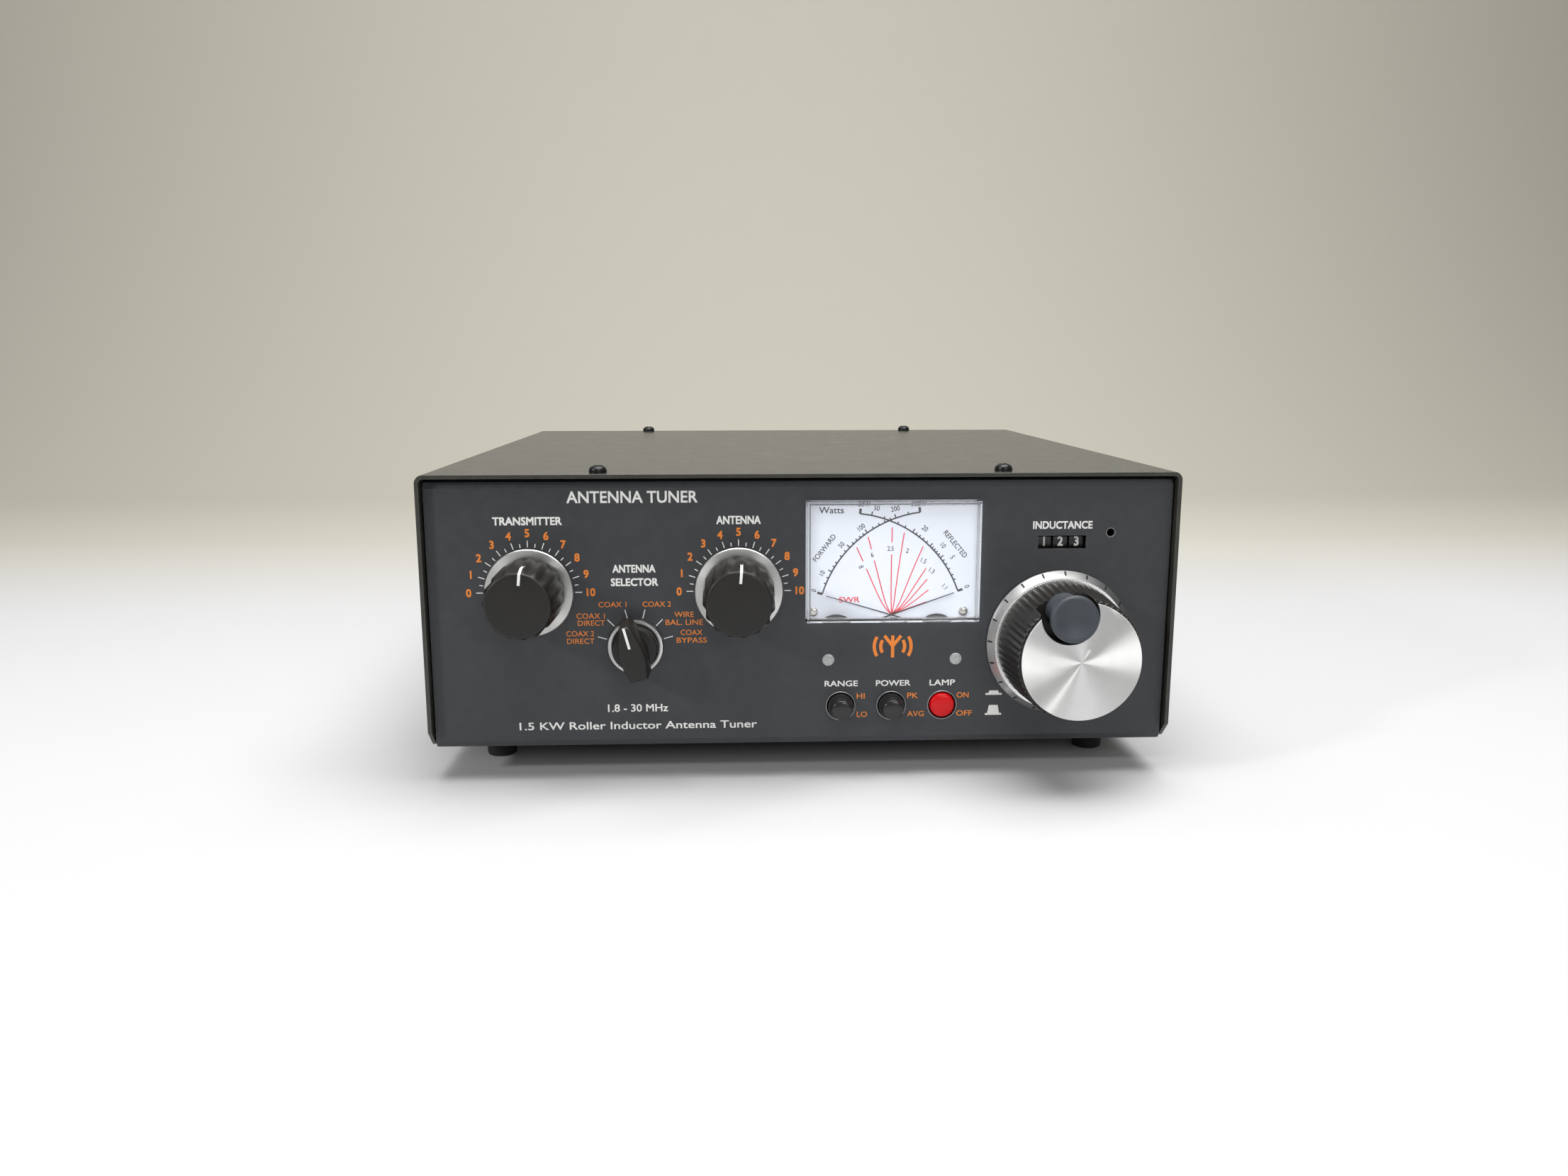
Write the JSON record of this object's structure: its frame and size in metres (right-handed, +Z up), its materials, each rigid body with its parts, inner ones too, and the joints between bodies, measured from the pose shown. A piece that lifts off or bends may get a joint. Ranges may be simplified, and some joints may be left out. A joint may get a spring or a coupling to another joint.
{
  "type": "antenna tuner",
  "caption": "Desk-top roller-inductor antenna tuner: folded case, tuning knobs, crank knob with turns counter, selector, cross-needle meter and rear sockets.",
  "frame": {"origin": "middle of the bounding box, on the surface the feet stand on", "axes": "+Z up, front panel faces -Y, +X to the right seen from the front"},
  "size_m": [0.273, 0.3324, 0.1169],
  "materials": {
    "cover_coat": "black textured enamel",
    "panel_paint": "charcoal blue-grey enamel, fine grain",
    "black_plastic": "moulded, satin",
    "red_plastic": "moulded, glossy",
    "satin_aluminium": "spun and brushed",
    "nickel": "nickel plate",
    "black_screw": "black oxide",
    "rubber": "moulded, matte",
    "finger_rubber": "moulded, soft matte",
    "clear_plastic": "clear, polished",
    "dial_card": "matt white, printed",
    "wheel_plastic": "moulded, satin, white digits",
    "nylon": "moulded, natural",
    "ceramic": "glazed",
    "copper": "silver-plated copper wire",
    "ferrite": "sintered, matte",
    "board": "glass-epoxy board"
  },
  "bodies": {
    "case": {"antenna_capacitor_frame": "ceramic", "antenna_capacitor_stator": "satin_aluminium", "balanced_line_1_insulator": "ceramic", "balanced_line_1_post": "nickel", "balanced_line_2_insulator": "ceramic", "balanced_line_2_post": "nickel", "balun_core": "ferrite", "bypass_socket": "nickel", "chassis": "panel_paint", "coax_1_socket": "nickel", "coax_2_socket": "nickel", "counter_case": "black_plastic", "cover_screw_1": "black_screw", "cover_screw_2": "black_screw", "cover_screw_3": "black_screw", "cover_screw_4": "black_screw", "foot_1": "rubber", "foot_2": "rubber", "foot_3": "rubber", "foot_4": "rubber", "ground_post": "nickel", "inductor_frame": "ceramic", "meter_case": "black_plastic", "meter_dial": "dial_card", "meter_window": "clear_plastic", "selector_wafers": "ceramic", "switch_bank": "nylon", "swr_board": "board", "top_cover": "cover_coat", "transmitter_capacitor_frame": "ceramic", "transmitter_capacitor_stator": "satin_aluminium", "transmitter_socket": "nickel", "wire_insulator": "ceramic", "wire_post": "nickel"},
    "transmitter_tuning": {"transmitter_knob": "black_plastic", "transmitter_skirt": "satin_aluminium", "transmitter_capacitor_rotor": "satin_aluminium"},
    "antenna_tuning": {"antenna_knob": "black_plastic", "antenna_skirt": "satin_aluminium", "antenna_capacitor_rotor": "satin_aluminium"},
    "selector": {"selector_knob": "black_plastic", "selector_rotor": "nylon"},
    "inductor": {"inductor_knob": "black_plastic", "inductor_dial_skirt": "satin_aluminium", "inductor_knob_face": "satin_aluminium", "coil_drum": "ceramic", "coil_winding": "copper", "inductor_gear": "nylon"},
    "finger_spinner": {"spinner": "finger_rubber"},
    "contact_carriage": {"contact_bush": "nickel"},
    "contact_roller": {"contact_wheel": "nickel"},
    "counter_drive": {"counter_gear": "nylon"},
    "units": {"units_wheel": "wheel_plastic"},
    "tens": {"tens_wheel": "wheel_plastic"},
    "hundreds": {"hundreds_wheel": "wheel_plastic"},
    "range_switch": {"range_button": "black_plastic"},
    "power_switch": {"power_button": "black_plastic"},
    "lamp_switch": {"lamp_button": "red_plastic"},
    "forward_pointer": {"forward_needle": "black_plastic"},
    "reflected_pointer": {"reflected_needle": "black_plastic"}
  },
  "joints": [
    {"name": "transmitter_turn", "type": "hinge", "parent": "case", "child": "transmitter_tuning", "pos_m": [-0.0984, -0.12875, 0.0713], "axis": [0, 1, 0], "range_deg": [-90, 90]},
    {"name": "antenna_turn", "type": "hinge", "parent": "case", "child": "antenna_tuning", "pos_m": [-0.023, -0.12875, 0.0713], "axis": [0, 1, 0], "range_deg": [-90, 90]},
    {"name": "selector_turn", "type": "hinge", "parent": "case", "child": "selector", "pos_m": [-0.0607, -0.12875, 0.0511], "axis": [0, 1, 0], "range_deg": [-60, 90]},
    {"name": "inductor_turn", "type": "hinge", "parent": "case", "child": "inductor", "pos_m": [0.0946, -0.12875, 0.0513], "axis": [0, 1, 0], "range_deg": [-4428, 2772]},
    {"name": "spinner_turn", "type": "hinge", "parent": "inductor", "child": "finger_spinner", "pos_m": [0.09011, -0.12875, 0.06739], "axis": [0, 1, 0], "continuous": true},
    {"name": "contact_slide", "type": "slide", "parent": "case", "child": "contact_carriage", "axis": [0, 1, 0], "range_m": [-0.0278, 0.0444]},
    {"name": "contact_roll", "type": "hinge", "parent": "contact_carriage", "child": "contact_roller", "pos_m": [0.07183, -0.05323, 0.07407], "axis": [0, 1, 0], "range_deg": [-8290, 13240]},
    {"name": "counter_drive_turn", "type": "hinge", "parent": "case", "child": "counter_drive", "pos_m": [0.0946, -0.10395, 0.08835], "axis": [0, 1, 0], "range_deg": [-2775, 4430]},
    {"name": "units_turn", "type": "hinge", "parent": "case", "child": "units", "pos_m": [0.10055, -0.11795, 0.08835], "axis": [1, 0, 0], "range_deg": [-4430, 2775]},
    {"name": "tens_turn", "type": "hinge", "parent": "case", "child": "tens", "pos_m": [0.0946, -0.11795, 0.08835], "axis": [1, 0, 0], "range_deg": [-443.1, 277.5]},
    {"name": "hundreds_turn", "type": "hinge", "parent": "case", "child": "hundreds", "pos_m": [0.08865, -0.11795, 0.08835], "axis": [1, 0, 0], "range_deg": [-44.4, 27.8]},
    {"name": "range_press", "type": "slide", "parent": "case", "child": "range_switch", "axis": [0, 1, 0], "range_m": [0, 0.0055]},
    {"name": "power_press", "type": "slide", "parent": "case", "child": "power_switch", "axis": [0, 1, 0], "range_m": [0, 0.0055]},
    {"name": "lamp_press", "type": "slide", "parent": "case", "child": "lamp_switch", "axis": [0, 1, 0], "range_m": [-0.0055, 0]},
    {"name": "forward_swing", "type": "hinge", "parent": "case", "child": "forward_pointer", "pos_m": [0.0483, -0.12685, 0.0569], "axis": [0, 1, 0], "range_deg": [0, 66], "stiffness_Nm_per_rad": 0.0002},
    {"name": "reflected_swing", "type": "hinge", "parent": "case", "child": "reflected_pointer", "pos_m": [0.0165, -0.12595, 0.0556], "axis": [0, 1, 0], "range_deg": [-64.5, 0], "stiffness_Nm_per_rad": 0.0002}
  ],
  "couplings": [
    {"joint": "contact_slide", "follows": "inductor_turn", "m_per_rad": -0.00057296},
    {"joint": "contact_roll", "follows": "inductor_turn", "ratio": -2.9875},
    {"joint": "counter_drive_turn", "follows": "inductor_turn", "ratio": -1},
    {"joint": "units_turn", "follows": "inductor_turn", "ratio": 1},
    {"joint": "tens_turn", "follows": "inductor_turn", "ratio": 0.1},
    {"joint": "hundreds_turn", "follows": "inductor_turn", "ratio": 0.01}
  ]
}
